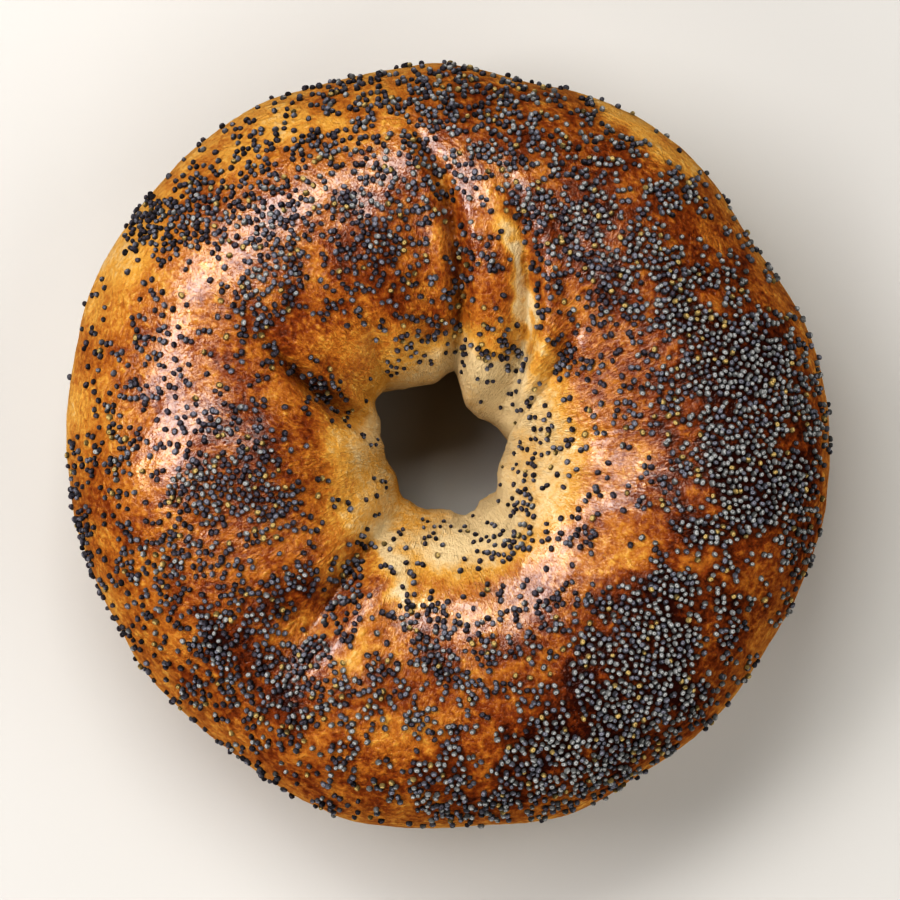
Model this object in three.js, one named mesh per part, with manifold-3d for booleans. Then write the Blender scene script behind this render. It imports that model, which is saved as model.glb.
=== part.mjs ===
// A poppy-seed bagel: one baked ring of dough, crowned on top and flat underneath, with the folds
// of the hand-rolled dough pinched in round its hole and poppy seeds baked into the crust.
// Millimetres, +Z up. The origin is on the table under the middle of the ring, and angles are in
// degrees, anticlockwise from +X as seen from above.
import * as THREE from "three";
import { mergeVertices } from "three/addons/utils/BufferGeometryUtils.js";
import Module from "manifold-3d";

// Driving dimensions. The outer diameter is taken over the seeds, which stand proud of the dough.
const OUTER_DIAMETER = 112;
const SEEDS_PROUD = 0.3;
const HEIGHT = 38;
const WAIST_HEIGHT = 0.46 * HEIGHT;
const HOLE_WALL = 0.149 * OUTER_DIAMETER / 2;
const SEED_LONG = 1.15;
const SEED_WIDE = 0.95;
const SEED_THICK = 0.9;

// How finely the faceted solid follows the dough
const RING_STEPS = 90;
const SECTION_STEPS = 26;
const CLOSEST_AROUND = 125;
const CLOSENESS = 18;
const SEED_COUNT = 233;
const SEED_GAP = 2.7;
const SEED_SUNK = 0.3;
const RANDOM_SEED = 12;
const MERGE_WITHIN = 1e-4;

// The section is a superellipse: nearly round above the waist, squarer below it
const UPPER_POWER = 2.1;
const LOWER_POWER = 2.5;
const LOWER_DEPTH = 1.09 * WAIST_HEIGHT;

// Half the stretch, in degrees round the section or the ring, over which a slope is taken
const SLOPE_STEP = 2;

// The relief fades out downwards between these heights, so that the underside stays flat
const RELIEF_NONE_AT = 0.5;
const RELIEF_FULL_AT = 0.3 * HEIGHT;

// Swellings of the outline and of the crown: [angle, rise in mm, half-width in degrees]
const OUTLINE_SWELLS = [
  [138, 1.9, 22],
  [105, -0.9, 10],
  [81, -0.6, 6],
  [33, -1.9, 13],
  [222, -1.6, 28],
  [289, 1.3, 10],
  [322, -1.3, 14],
];
const CROWN_SWELLS = [
  [190, 0.9, 26],
  [118, 0.7, 22],
  [305, 1.0, 38],
  [45, -0.8, 20],
  [232, -1.5, 9],
  [88, -0.9, 9],
];

// The hole is a soft-cornered polygon: [direction each side faces, its distance over HOLE_WALL]
const HOLE_SIDES = [
  [44, 0.81],
  [104, 1.16],
  [197, 1.02],
  [243, 1.06],
  [284, 1.24],
  [338, 0.92],
];
const HOLE_CORNER_POWER = 14;

// Slow waves of the whole surface: [turns round the ring, turns round the section, phase, height]
const DOUGH_WAVES = [
  [3, 1, 40, 0.35],
  [5, -1, 200, 0.3],
  [7, 2, 310, 0.25],
  [11, 1, 95, 0.16],
];

// Folds of the dough in order round the ring, each from the hole's waist outwards. reach counts
// quarter turns round the section, 1 at the crest; lip is the ridge beside the fold, on its
// anticlockwise side if positive; mouth is the share of its depth with which it opens into the hole;
// bow bends its line by that many degrees halfway.
const FOLDS = [
  { start: 9, end: 42, reach: 0.85, depth: 1.2, width: 2.0, lip: 0.3, mouth: 1 },
  { start: 27, end: 74, reach: 1.1, depth: 2.9, width: 2.4, lip: -1.1, mouth: 0.1 },
  { start: 84, end: 94, reach: 1.3, depth: 2.4, width: 2.0, lip: 0.9, mouth: 0.4, bow: -4.5 },
  { start: 138, end: 122, reach: 0.65, depth: 0.9, width: 2.0, lip: -0.2, mouth: 0.8 },
  { start: 170, end: 150, reach: 0.85, depth: 3.0, width: 1.9, lip: -0.8, mouth: 0.2 },
  { start: 200, end: 210, reach: 0.7, depth: 0.6, width: 2.2, lip: 0.2, mouth: 0.3 },
  { start: 229, end: 234, reach: 1.12, depth: 3.1, width: 2.9, lip: 0.7, mouth: 0.2 },
  { start: 285, end: 278, reach: 0.6, depth: 0.7, width: 2.6, lip: 0.2, mouth: 0.5 },
  { start: 316, end: 306, reach: 0.5, depth: 1.1, width: 2.0, lip: 0.2, mouth: 1 },
];

// How every fold runs out, in shares of its reach: at full depth up to FOLD_FULL_TO, and fading over
// FOLD_FADE beyond it and over FOLD_BELOW under the waist. Its mouth opens over MOUTH_LENGTH quarter
// turns, and its ridge stands RIDGE_OFFSET fold widths aside.
const FOLD_FULL_TO = 0.75;
const FOLD_FADE = 0.22;
const FOLD_BELOW = 0.35;
const FOLD_LINE_ENDS = [-0.2, 1.2];
const MOUTH_LENGTH = 0.4;
const RIDGE_OFFSET = 1.7;

// Hollows (negative) and blisters (positive) of the crust: [angle, radius, half-width, rise]. They
// fade in and out between these turns round the section, on both sides of the crown.
const CROWN_EDGES = [5, 35, 150, 178];
const DIMPLES = [
  [229, 31, 3.4, -1.1],
  [97, 33, 4.0, -0.6],
  [39, 46.5, 3.6, -0.5],
  [26.7, 43, 1.1, 0.7],
  [271, 38, 3.6, -0.5],
  [336, 45, 2.0, 0.6],
];

// Drifts where seeds lie thick, and bare spots (negative): [angle, radius, half-width, cover]
const SEED_DRIFTS = [
  [21, 43, 5, 0.9], [12, 51, 6, 0.9], [352, 43, 6, 0.9], [355, 49, 5, 0.9],
  [341, 39, 4, 0.8], [324, 38, 5, 0.9], [314, 35, 4, 0.8], [304, 45, 6, 0.9],
  [299, 52, 5, 0.8], [291, 44, 4, 0.6], [306, 26, 3, 0.6], [269, 47, 4, 0.8],
  [257, 36, 3, 0.7], [275, 33, 2, 0.8], [287, 35, 2, 0.8], [264, 26, 3, 0.6],
  [237, 26, 3, 0.7], [219, 29, 3, 0.6], [236, 36, 4, 0.8], [219, 43, 3, 0.8],
  [204, 43, 4, 0.5], [188, 33, 4, 0.9], [193, 28, 3, 0.6], [172, 45, 3, 0.4],
  [141, 52, 4, 0.8], [131, 49, 5, 0.6], [113, 46, 3, 0.7], [128, 38, 3, 0.6],
  [138, 35, 3, 0.6], [104, 37, 4, 0.6], [93, 49, 5, 0.6], [82, 46, 5, 0.6],
  [62, 36, 4, 0.8], [49, 47, 4, 0.6], [42, 39, 4, 0.7], [33, 40, 3, 0.7],
  [97, 16, 3, 0.4], [152, 17, 2, 1.0], [325, 13, 3, 0.4],
  [117, 35, 3, -0.5], [39, 46.5, 3, -0.9], [55, 54, 4, -0.6], [83, 36, 3, -0.5],
  [271, 38, 4, -0.7], [230, 30, 3, -0.9], [345, 25, 5, -0.4], [138, 22, 5, -0.5],
  [334, 53, 4, -0.7], [312, 46, 2, -0.4], [296, 32, 3, -0.4],
];
const THIN_COVER = 0.24;
const SEEDS_FROM = -20;
const SEEDS_TO = 195;

const CRUST_COLOUR = 0xb5651d;

const radians = THREE.MathUtils.degToRad;
const smoothstep = THREE.MathUtils.smoothstep;
const hump = (x) => Math.exp(-x * x);
const turnBetween = (a, b) => THREE.MathUtils.euclideanModulo(a - b + 180, 360) - 180;
const swell = (swells, angle) =>
  swells.reduce((sum, [at, rise, half]) => sum + rise * hump(turnBetween(angle, at) / half), 0);
const signedPower = (x, power) => Math.sign(x) * Math.abs(x) ** power;

// Numbers from 0 to 1 that come out the same on each run
function seededRandom(seed) {
  let state = seed;
  return () => {
    state = (state + 0x6d2b79f5) | 0;
    let mixed = Math.imul(state ^ (state >>> 15), 1 | state);
    mixed = (mixed + Math.imul(mixed ^ (mixed >>> 7), 61 | mixed)) ^ mixed;
    return ((mixed ^ (mixed >>> 14)) >>> 0) / 4294967296;
  };
}

const outerRadius = (angle) => OUTER_DIAMETER / 2 - SEEDS_PROUD + swell(OUTLINE_SWELLS, angle);

function holeRadius(angle) {
  const nearness = HOLE_SIDES.reduce((sum, [faces, distance]) => {
    const along = Math.max(Math.cos(radians(angle - faces)), 0);
    return sum + (along / (distance * HOLE_WALL)) ** HOLE_CORNER_POWER;
  }, 0);
  return nearness ** (-1 / HOLE_CORNER_POWER);
}

// The ring's section before its relief, as [radius, height]. around is 0 at the outer waist, 90 at
// the crest, 180 at the hole's waist and 270 underneath.
function section(angle, around) {
  const outer = outerRadius(angle);
  const hole = holeRadius(angle);
  const across = Math.cos(radians(around));
  const up = Math.sin(radians(around));
  const upper = up >= 0;
  const power = 2 / (upper ? UPPER_POWER : LOWER_POWER);
  const depth = upper ? HEIGHT - WAIST_HEIGHT + swell(CROWN_SWELLS, angle) : LOWER_DEPTH;
  return [
    (outer + hole) / 2 + ((outer - hole) / 2) * signedPower(across, power),
    WAIST_HEIGHT + depth * signedPower(up, power),
  ];
}

// The section's outward direction, as [radial, up]
function sectionNormal(angle, around) {
  const [r0, z0] = section(angle, around - SLOPE_STEP);
  const [r1, z1] = section(angle, around + SLOPE_STEP);
  const length = Math.hypot(r1 - r0, z1 - z0);
  return [(z1 - z0) / length, -(r1 - r0) / length];
}

// The angle of a fold's line, where fromWaist counts quarter turns from the hole's waist
function foldLine({ start, end, reach, bow = 0 }, fromWaist) {
  const along = THREE.MathUtils.clamp(fromWaist / reach, ...FOLD_LINE_ENDS);
  return THREE.MathUtils.lerp(start, end, along) + bow * Math.sin(Math.PI * along);
}

function foldRelief(angle, around, radius) {
  const fromWaist = (180 - around) / 90;
  return FOLDS.reduce((sum, fold) => {
    const { reach, depth, width, lip, mouth } = fold;
    const along = fromWaist / reach;
    const opening = mouth + (1 - mouth) * smoothstep(fromWaist, 0, MOUTH_LENGTH);
    const outwards = hump(Math.max(along - FOLD_FULL_TO, 0) / FOLD_FADE);
    const below = hump(Math.min(along, 0) / FOLD_BELOW);
    const offset = radians(turnBetween(angle, foldLine(fold, fromWaist))) * radius;
    const groove = -depth * hump(offset / width);
    const ridge = Math.abs(lip) * hump((offset - Math.sign(lip) * RIDGE_OFFSET * width) / width);
    return sum + opening * outwards * below * (groove + ridge);
  }, 0);
}

function dimpleRelief(angle, radius) {
  return DIMPLES.reduce((sum, [at, from, half, rise]) => {
    const sideways = radians(turnBetween(angle, at)) * radius;
    return sum + rise * hump(Math.hypot(sideways, radius - from) / half);
  }, 0);
}

function waveRelief(angle, around) {
  return DOUGH_WAVES.reduce(
    (sum, [ring, turns, phase, rise]) =>
      sum + rise * Math.cos(radians(ring * angle + turns * around + phase)),
    0,
  );
}

// A point of the finished crust
function crustPoint(angle, around) {
  const [radius, height] = section(angle, around);
  const [radial, up] = sectionNormal(angle, around);
  const [outside, outer, inner, inside] = CROWN_EDGES;
  const top = smoothstep(around, outside, outer) * (1 - smoothstep(around, inner, inside));
  const relief =
    foldRelief(angle, around, radius) +
    top * dimpleRelief(angle, radius) +
    waveRelief(angle, around);
  const share = smoothstep(height, RELIEF_NONE_AT, RELIEF_FULL_AT);
  const r = radius + share * relief * radial;
  return new THREE.Vector3(
    r * Math.cos(radians(angle)),
    r * Math.sin(radians(angle)),
    Math.max(height + share * relief * up, 0),
  );
}

function crustNormal(angle, around) {
  const along = crustPoint(angle + SLOPE_STEP, around).sub(crustPoint(angle - SLOPE_STEP, around));
  const up = crustPoint(angle, around + SLOPE_STEP).sub(crustPoint(angle, around - SLOPE_STEP));
  return along.cross(up).normalize();
}

// The grid's columns stand closer on the inner slope, where the folds are, than underneath
function columnAround(column) {
  const even = (360 * column) / SECTION_STEPS;
  const closer = even - CLOSENESS * Math.sin(radians(even - CLOSEST_AROUND));
  return THREE.MathUtils.euclideanModulo(closer, 360);
}

// The grid's rows run along the folds, so that each fold has a row in its groove
function rowAngle(row, around) {
  const fromWaist = Math.abs(180 - around) / 90;
  const turn = FOLDS[0].end + (360 * row) / RING_STEPS;
  const before = FOLDS.findLastIndex((fold) => fold.end <= turn);
  const after = (before + 1) % FOLDS.length;
  const lap = after === 0 ? 360 : 0;
  const share = (turn - FOLDS[before].end) / (FOLDS[after].end + lap - FOLDS[before].end);
  const from = foldLine(FOLDS[before], fromWaist);
  const to = foldLine(FOLDS[after], fromWaist) + lap;
  return THREE.MathUtils.lerp(from, to, share);
}

function gridPoint(row, column) {
  const around = columnAround(column);
  return crustPoint(rowAngle(row, around), around);
}

// The dough as a closed grid, rows round the ring and columns round the section. Each quad is
// split along the diagonal that lies closer to the crust at its middle.
function doughGeometry() {
  const points = [];
  for (let row = 0; row < RING_STEPS; row += 1) {
    for (let column = 0; column < SECTION_STEPS; column += 1) {
      points.push(gridPoint(row, column));
    }
  }
  const index = [];
  for (let row = 0; row < RING_STEPS; row += 1) {
    for (let column = 0; column < SECTION_STEPS; column += 1) {
      const nextRow = (row + 1) % RING_STEPS;
      const nextColumn = (column + 1) % SECTION_STEPS;
      const here = row * SECTION_STEPS + column;
      const beside = nextRow * SECTION_STEPS + column;
      const above = row * SECTION_STEPS + nextColumn;
      const opposite = nextRow * SECTION_STEPS + nextColumn;
      const middle = gridPoint(row + 0.5, column + 0.5);
      const sag = (a, b) => points[a].clone().lerp(points[b], 0.5).distanceTo(middle);
      if (sag(here, opposite) <= sag(beside, above)) {
        index.push(here, beside, opposite, here, opposite, above);
      } else {
        index.push(here, beside, above, beside, opposite, above);
      }
    }
  }
  return new THREE.BufferGeometry().setFromPoints(points).setIndex(index);
}

// Share of the crust that seeds cover at a place
function seedCover(angle, radius) {
  return SEED_DRIFTS.reduce((sum, [at, from, half, cover]) => {
    const sideways = radians(turnBetween(angle, at)) * radius;
    return sum + cover * hump(Math.hypot(sideways, radius - from) / half);
  }, THIN_COVER);
}

// Places for the seeds: drawn at random, kept by the cover there and by their distance apart
function seedPlaces() {
  const random = seededRandom(RANDOM_SEED);
  const places = [];
  while (places.length < SEED_COUNT) {
    const angle = 360 * random();
    const around = THREE.MathUtils.lerp(SEEDS_FROM, SEEDS_TO, random());
    const point = crustPoint(angle, around);
    const radius = Math.hypot(point.x, point.y);
    const kept = random() < (radius / (OUTER_DIAMETER / 2)) * seedCover(angle, radius);
    if (kept && places.every((place) => place.point.distanceTo(point) > SEED_GAP)) {
      places.push({ point, normal: crustNormal(angle, around), spin: 2 * Math.PI * random() });
    }
  }
  return places;
}

// One seed lying in the crust, its long axis along the surface
function seedGeometry({ point, normal, spin }) {
  const up = new THREE.Vector3(0, 0, 1);
  return new THREE.IcosahedronGeometry(1)
    .scale(SEED_LONG / 2, SEED_WIDE / 2, SEED_THICK / 2)
    .rotateZ(spin)
    .translate(0, 0, (0.5 - SEED_SUNK) * SEED_THICK)
    .applyQuaternion(new THREE.Quaternion().setFromUnitVectors(up, normal))
    .translate(point.x, point.y, point.z);
}

const wasm = await Module();
wasm.setup();

function solidFrom(geometry) {
  const shape = geometry.clone();
  shape.deleteAttribute("normal");
  shape.deleteAttribute("uv");
  const merged = mergeVertices(shape, MERGE_WITHIN);
  return new wasm.Manifold(
    new wasm.Mesh({
      numProp: 3,
      vertProperties: merged.attributes.position.array,
      triVerts: new Uint32Array(merged.index.array),
    }),
  );
}

function geometryFrom(solid) {
  const { vertProperties, triVerts } = solid.getMesh();
  const geometry = new THREE.BufferGeometry()
    .setAttribute("position", new THREE.BufferAttribute(vertProperties, 3))
    .setIndex(new THREE.BufferAttribute(triVerts, 1));
  geometry.computeVertexNormals();
  return geometry;
}

// The dough with its seeds fused on, without any loose scrap
function seededDough() {
  const dough = solidFrom(doughGeometry());
  const seeds = seedPlaces().map((place) => solidFrom(seedGeometry(place)));
  const fused = wasm.Manifold.union([dough, ...seeds]);
  return fused.decompose().reduce((most, one) => (one.volume() > most.volume() ? one : most));
}

const bagel = new THREE.Mesh(
  geometryFrom(seededDough()),
  new THREE.MeshStandardMaterial({
    name: "seeded_crust",
    color: CRUST_COLOUR,
    roughness: 0.45,
    metalness: 0,
    flatShading: true,
  }),
);
bagel.name = "bagel";

const model = new THREE.Group();
model.add(bagel);

export default model;
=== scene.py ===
"""A poppy seed bagel seen from straight above: the dough with its folds, crinkles and glossy bake, and
several thousand poppy seeds in drifts. Laid out as an add-on, and run as a script."""
import math
from collections import namedtuple

import bpy
import numpy as np
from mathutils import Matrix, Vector, noise


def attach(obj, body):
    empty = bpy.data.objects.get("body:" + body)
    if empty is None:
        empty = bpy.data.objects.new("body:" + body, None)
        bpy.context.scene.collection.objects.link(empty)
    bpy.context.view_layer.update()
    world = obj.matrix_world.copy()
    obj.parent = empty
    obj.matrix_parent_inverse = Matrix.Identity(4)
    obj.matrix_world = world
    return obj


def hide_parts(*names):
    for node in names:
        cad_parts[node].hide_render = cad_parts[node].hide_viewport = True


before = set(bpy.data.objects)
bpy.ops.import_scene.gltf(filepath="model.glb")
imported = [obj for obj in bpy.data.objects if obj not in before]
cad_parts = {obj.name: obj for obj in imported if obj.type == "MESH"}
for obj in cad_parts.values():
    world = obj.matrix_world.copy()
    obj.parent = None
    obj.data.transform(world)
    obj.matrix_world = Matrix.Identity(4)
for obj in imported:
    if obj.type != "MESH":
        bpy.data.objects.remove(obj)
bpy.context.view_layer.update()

bl_info = {
    "name": "Poppy Seed Bagel",
    "version": (1, 0, 0),
    "blender": (4, 5, 0),
    "location": "View3D > Sidebar > Bagel",
    "description": "Makes a baked poppy seed bagel with its studio",
    "category": "Add Mesh",
}

NODE = "bagel"
BODY = "root"
MM = 0.001

# The dough's sizes in millimetres and degrees. The origin is on the table under the middle of the
# ring, and angles run anticlockwise from +X as seen from above. The section is a rounded box, whose
# corners have a power above and below the waist. Seeds stand out past the dough's outline.
OUTER_DIAMETER = 112
SEEDS_PROUD = 0.3
HEIGHT = 38
WAIST_HEIGHT = 0.46 * HEIGHT
HOLE_WALL = 0.149 * OUTER_DIAMETER / 2
UPPER_POWER = 2.1
LOWER_POWER = 2.5
LOWER_DEPTH = 1.09 * WAIST_HEIGHT
SLOPE_STEP = 2

# The underside is flat, so the relief grows from none to full between these heights
RELIEF_NONE_AT = 0.5
RELIEF_FULL_AT = 0.3 * HEIGHT

# Swellings of the outline and of the crown: (angle, rise in mm, half-width in degrees)
OUTLINE_SWELLS = (
    (138, 1.9, 22),
    (105, -0.9, 10),
    (81, -0.6, 6),
    (33, -1.9, 13),
    (222, -1.6, 28),
    (289, 1.3, 10),
    (322, -1.3, 14),
)
CROWN_SWELLS = (
    (190, 0.9, 26),
    (118, 0.7, 22),
    (305, 1.0, 38),
    (45, -0.8, 20),
    (232, -1.5, 9),
    (88, -0.9, 9),
)

# The hole is a soft-cornered polygon: (direction each side faces, its distance over HOLE_WALL)
HOLE_SIDES = ((44, 0.81), (104, 1.16), (197, 1.02), (243, 1.06), (284, 1.24), (338, 0.92))
HOLE_CORNER_POWER = 14

# Slow waves of the surface: (turns round the ring, turns round the section, phase, height)
DOUGH_WAVES = ((3, 1, 40, 0.35), (5, -1, 200, 0.3), (7, 2, 310, 0.25), (11, 1, 95, 0.16))

# Folds in order round the ring: angle at the hole, angle at the far end, reach in quarter turns of
# the section, depth, width, ridge beside it (anticlockwise if positive), share of the depth at the
# hole, bow of the line, and depth of the sharp crease along the groove
Fold = namedtuple("Fold", "begin end reach depth width ridge mouth bow crease")
FOLDS = (
    Fold(9, 42, 0.85, 1.2, 1.8, 0.3, 1.0, 0.0, 0.5),
    Fold(27, 74, 1.1, 2.9, 2.2, -1.1, 0.1, 0.0, 0.7),
    Fold(84, 94, 1.3, 2.0, 1.45, 0.7, 0.7, -4.5, 1.2),
    Fold(138, 122, 0.65, 0.9, 1.8, -0.2, 0.8, 0.0, 0.4),
    Fold(170, 150, 0.85, 2.7, 1.6, -0.9, 0.2, 0.0, 0.9),
    Fold(200, 210, 0.7, 0.6, 2.2, 0.2, 0.3, 0.0, 0.2),
    Fold(229, 234, 1.12, 2.3, 2.5, 0.35, 0.15, 0.0, 0.6),
    Fold(285, 278, 0.6, 0.5, 3.4, 0.2, 0.2, 0.0, 0.0),
    Fold(316, 306, 0.5, 1.1, 2.0, 0.2, 1.0, 0.0, 0.3),
)

# A fold is full up to a share of its reach and then fades, as it does below the hole's waist. The
# ridge stands beside the groove by a number of its widths. CREASE_WIDTH is in mm.
FOLD_FULL_TO = 0.75
FOLD_FADE = 0.22
FOLD_BELOW = 0.35
FOLD_LINE_ENDS = (-0.2, 1.2)
MOUTH_LENGTH = 0.4
RIDGE_OFFSET = 1.7
CREASE_WIDTH = 0.5

# Hollows and blisters of the crown: (angle, radius, half-width, rise)
DIMPLES = (
    (229, 31, 3.4, -1.1),
    (97, 33, 4.0, -0.6),
    (39, 46.5, 3.6, -0.5),
    (26.7, 43, 1.1, 0.7),
    (271, 38, 3.6, -0.5),
    (336, 45, 2.0, 0.6),
)

# Turns round the section between which the hollows and blisters fade in, and fade out again
CROWN_EDGES = (5, 35, 150, 178)

# Photo facts: the frame is PHOTO_FRAME pixels wide and the bagel PHOTO_WIDTH pixels, and the ring's
# centre shows at PHOTO_CENTRE. A pixel covers PIXEL millimetres.
PHOTO_FRAME = 900
PHOTO_WIDTH = 766
PHOTO_CENTRE = (447, 448)
PIXEL = OUTER_DIAMETER / PHOTO_WIDTH

# Drifts where seeds lie thick, as seen in the photo: (x and y of one end, x and y of the other end,
# half-width, all in photo pixels, and the share of the crust that the seeds cover)
SEED_DRIFTS = (
    (150, 225, 195, 235, 22, 0.65), (207, 190, 225, 238, 15, 0.62), (262, 165, 264, 195, 22, 0.45),
    (250, 215, 300, 205, 20, 0.42), (276, 225, 290, 260, 18, 0.62), (262, 282, 290, 291, 12, 0.62),
    (325, 150, 336, 162, 14, 0.6), (318, 197, 362, 216, 11, 0.62), (388, 245, 358, 264, 17, 0.55),
    (408, 204, 430, 216, 18, 0.52), (368, 285, 406, 291, 12, 0.42), (400, 225, 420, 256, 15, 0.42),
    (245, 305, 268, 330, 12, 0.46), (160, 312, 160, 327, 15, 0.36), (330, 318, 345, 312, 10, 0.44),
    (275, 356, 275, 361, 9, 0.46), (299, 323, 300, 324, 7, 0.38), (425, 337, 441, 325, 9, 0.48),
    (409, 352, 419, 359, 8, 0.4), (436, 280, 441, 296, 7, 0.42), (134, 394, 152, 400, 11, 0.44),
    (124, 415, 140, 446, 12, 0.42), (204, 426, 236, 420, 12, 0.46), (268, 420, 275, 436, 9, 0.44),
    (324, 386, 375, 421, 5, 0.95), (376, 420, 381, 436, 5, 0.7), (410, 106, 452, 118, 15, 0.62),
    (428, 132, 446, 129, 10, 0.55), (340, 82, 545, 78, 22, 0.46), (362, 105, 371, 152, 11, 0.44),
    (316, 92, 320, 114, 12, 0.42), (377, 84, 379, 94, 11, 0.55), (387, 170, 369, 190, 13, 0.46),
    (425, 160, 426, 168, 11, 0.42), (462, 150, 465, 182, 12, 0.46), (460, 92, 497, 94, 14, 0.56),
    (508, 108, 508, 116, 12, 0.52), (468, 122, 500, 145, 18, 0.44), (470, 165, 522, 164, 14, 0.46),
    (530, 152, 592, 186, 20, 0.44), (522, 214, 592, 226, 15, 0.64), (550, 217, 584, 230, 8, 0.8),
    (560, 240, 602, 272, 15, 0.62), (534, 262, 560, 280, 12, 0.42), (605, 290, 624, 300, 12, 0.62),
    (598, 310, 646, 336, 15, 0.42), (656, 199, 685, 198, 13, 0.64), (656, 202, 640, 250, 16, 0.62),
    (640, 250, 665, 288, 14, 0.85), (665, 288, 671, 322, 13, 0.9), (624, 285, 642, 296, 12, 0.55),
    (690, 282, 722, 286, 12, 0.48), (734, 264, 736, 310, 10, 0.52), (704, 336, 748, 346, 18, 0.95),
    (694, 370, 748, 377, 20, 0.95), (750, 335, 762, 372, 14, 0.85), (640, 388, 690, 400, 15, 0.48),
    (752, 392, 788, 382, 21, 0.9), (790, 330, 813, 402, 12, 0.6), (738, 204, 802, 320, 8, 0.7),
    (716, 440, 748, 438, 22, 0.95), (690, 426, 722, 420, 9, 0.52), (738, 478, 768, 482, 30, 1.0),
    (800, 400, 820, 440, 13, 0.65), (600, 138, 632, 156, 10, 0.44), (554, 94, 582, 112, 9, 0.4),
    (470, 250, 486, 264, 12, 0.44), (562, 366, 576, 370, 9, 0.4), (606, 368, 634, 354, 12, 0.28),
    (600, 420, 652, 420, 8, 0.28), (527, 450, 529, 500, 9, 0.5), (520, 504, 531, 532, 7, 0.6),
    (552, 536, 582, 535, 8, 0.38), (452, 520, 512, 538, 12, 0.46), (474, 548, 500, 552, 8, 0.4),
    (488, 350, 516, 364, 11, 0.34), (656, 500, 676, 540, 12, 0.52), (664, 440, 690, 472, 10, 0.52),
    (474, 628, 490, 640, 10, 0.46), (528, 606, 552, 618, 10, 0.46),
    (206, 474, 256, 474, 14, 0.95), (200, 500, 216, 506, 14, 0.62), (258, 492, 270, 464, 14, 0.64),
    (230, 512, 288, 510, 18, 0.46), (240, 540, 256, 525, 14, 0.44), (110, 464, 140, 470, 10, 0.44),
    (69, 450, 100, 600, 9, 0.55), (100, 600, 145, 680, 9, 0.55), (160, 700, 246, 770, 11, 0.6),
    (246, 775, 332, 810, 11, 0.46), (150, 546, 202, 556, 18, 0.44), (164, 576, 190, 560, 10, 0.64),
    (180, 585, 183, 612, 8, 0.42), (228, 566, 247, 570, 8, 0.38), (256, 592, 300, 572, 12, 0.44),
    (304, 576, 306, 584, 9, 0.75), (286, 600, 290, 610, 8, 0.42), (352, 572, 345, 622, 12, 0.5),
    (215, 614, 215, 642, 12, 0.9), (204, 655, 226, 666, 12, 0.46), (254, 618, 270, 650, 10, 0.46),
    (264, 650, 292, 668, 9, 0.62), (294, 666, 322, 646, 11, 0.95), (303, 680, 304, 706, 9, 0.66),
    (245, 676, 286, 716, 16, 0.44), (278, 735, 296, 736, 8, 0.38), (346, 726, 348, 734, 10, 0.5),
    (376, 660, 386, 664, 12, 0.44), (372, 706, 398, 695, 11, 0.48), (400, 696, 416, 712, 8, 0.64),
    (418, 720, 452, 725, 7, 0.42), (344, 760, 402, 785, 7, 0.4), (394, 606, 442, 620, 10, 0.44),
    (418, 640, 446, 656, 10, 0.62), (454, 670, 476, 681, 10, 0.62), (486, 680, 524, 686, 8, 0.5),
    (420, 760, 425, 792, 10, 0.62), (452, 754, 446, 776, 14, 0.62), (430, 790, 486, 812, 10, 0.5),
    (540, 594, 562, 600, 12, 0.52), (545, 615, 572, 620, 8, 0.44), (478, 651, 522, 644, 10, 0.5),
    (588, 638, 606, 652, 12, 0.9), (600, 602, 642, 600, 12, 0.62), (648, 592, 672, 580, 15, 0.85),
    (638, 614, 668, 640, 18, 0.95), (626, 640, 614, 742, 22, 0.97), (622, 740, 612, 760, 18, 0.85),
    (576, 640, 574, 692, 10, 0.56), (538, 706, 572, 704, 8, 0.56), (554, 728, 572, 756, 12, 0.9),
    (534, 756, 538, 772, 9, 0.85), (518, 735, 542, 742, 14, 0.62), (500, 792, 512, 768, 14, 0.58),
    (552, 776, 622, 782, 9, 0.5), (664, 654, 673, 668, 7, 0.85), (688, 684, 698, 702, 10, 0.75),
    (652, 690, 722, 722, 18, 0.44), (655, 738, 672, 760, 8, 0.52), (676, 558, 722, 560, 10, 0.55),
    (690, 540, 730, 524, 13, 0.8), (700, 602, 742, 600, 12, 0.44), (724, 626, 726, 634, 8, 0.5),
    (780, 540, 816, 556, 12, 0.46), (774, 512, 822, 528, 12, 0.56), (796, 600, 740, 696, 8, 0.6),
    (400, 815, 562, 800, 11, 0.3), (196, 482, 262, 486, 18, 0.8), (236, 596, 262, 620, 14, 0.5),
    (318, 702, 340, 680, 14, 0.42), (300, 238, 340, 252, 12, 0.42), (380, 162, 410, 150, 14, 0.45),
    (352, 236, 372, 250, 10, 0.42), (140, 560, 160, 600, 14, 0.4), (190, 690, 230, 700, 14, 0.36),
)

# Places that seeds leave almost bare: (x and y of one end, x and y of the other end, half-width in
# photo pixels, share of the seeds that go)
BARE_STREAKS = (
    (506, 222, 528, 332, 10, 0.85),
    (536, 344, 556, 396, 9, 0.6),
    (316, 346, 372, 366, 14, 0.8),
    (296, 412, 352, 470, 22, 0.75),
    (346, 480, 372, 524, 12, 0.7),
    (298, 602, 318, 612, 12, 0.9),
    (330, 626, 346, 650, 9, 0.8),
    (686, 562, 704, 556, 12, 0.9),
    (560, 566, 640, 554, 10, 0.7),
    (600, 440, 640, 520, 24, 0.4),
    (100, 262, 118, 330, 22, 0.5),
    (440, 566, 520, 570, 12, 0.5),
    (446, 196, 452, 236, 12, 0.6),
    (300, 330, 340, 322, 12, 0.6),
    (640, 520, 672, 548, 12, 0.6),
    (740, 590, 770, 660, 16, 0.6),
    (772, 430, 780, 470, 10, 0.4),
    (692, 236, 704, 262, 14, 0.7),
)

# Cover between the drifts, and how far the drifts' edges wander in mm
THIN_COVER = 0.13
DRIFT_WANDER = 1.8

# Turns round the section between which seeds lie, from the outer waist over the crown to the hole
SEEDS_FROM = -6
SEEDS_THICK_FROM = 50
SEEDS_THICK_TO = 128
SEEDS_TO = 172

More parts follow.
